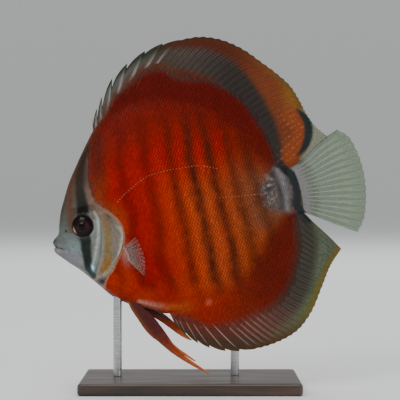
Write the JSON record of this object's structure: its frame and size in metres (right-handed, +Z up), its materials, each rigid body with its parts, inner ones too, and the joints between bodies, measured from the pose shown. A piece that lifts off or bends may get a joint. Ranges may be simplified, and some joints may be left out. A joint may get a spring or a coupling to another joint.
{
  "type": "discus fish display model",
  "caption": "Life-size still model of a discus fish: a tall, thin disc of a body with long dorsal and anal fins, held above a flat base by short rods.",
  "frame": {"origin": "on the flat underside of the base, below the middle of the fish's length and in its middle plane", "axes": "+Z up, +X towards the tail, +Y towards the fish's right side; the fish looks along -X and 12.7 degrees down"},
  "size_m": [0.1596, 0.07, 0.1785],
  "materials": {
    "head_skin": "satin, grey with a dark bar through the eye",
    "gill_cover_skin": "satin, olive gold with a pale rim",
    "flank_skin": "satin, red with darker upright bars and fine scales",
    "stalk_skin": "satin, silver lilac with a black bar",
    "fin_red": "satin, dark red with a grey band and orange margin",
    "fin_clear": "clear grey green with pale rays",
    "fin_maroon": "satin, maroon with orange tips",
    "eye": "high gloss, dark red iris and black pupil",
    "stand_wood": "dark stained, satin varnish",
    "stand_metal": "brushed"
  },
  "bodies": {
    "root": {"head": "head_skin", "gill_cover_left": "gill_cover_skin", "gill_cover_right": "gill_cover_skin", "torso": "flank_skin", "tail_stalk": "stalk_skin", "dorsal_fin": "fin_red", "anal_fin": "fin_red", "tail_fin": "fin_clear", "pectoral_fin_left": "fin_clear", "pectoral_fin_right": "fin_clear", "pelvic_fin_left": "fin_maroon", "pelvic_fin_right": "fin_maroon", "eye_left": "eye", "eye_right": "eye", "stand_base": "stand_wood", "stand_rod_front": "stand_metal", "stand_rod_rear": "stand_metal"}
  },
  "joints": []
}
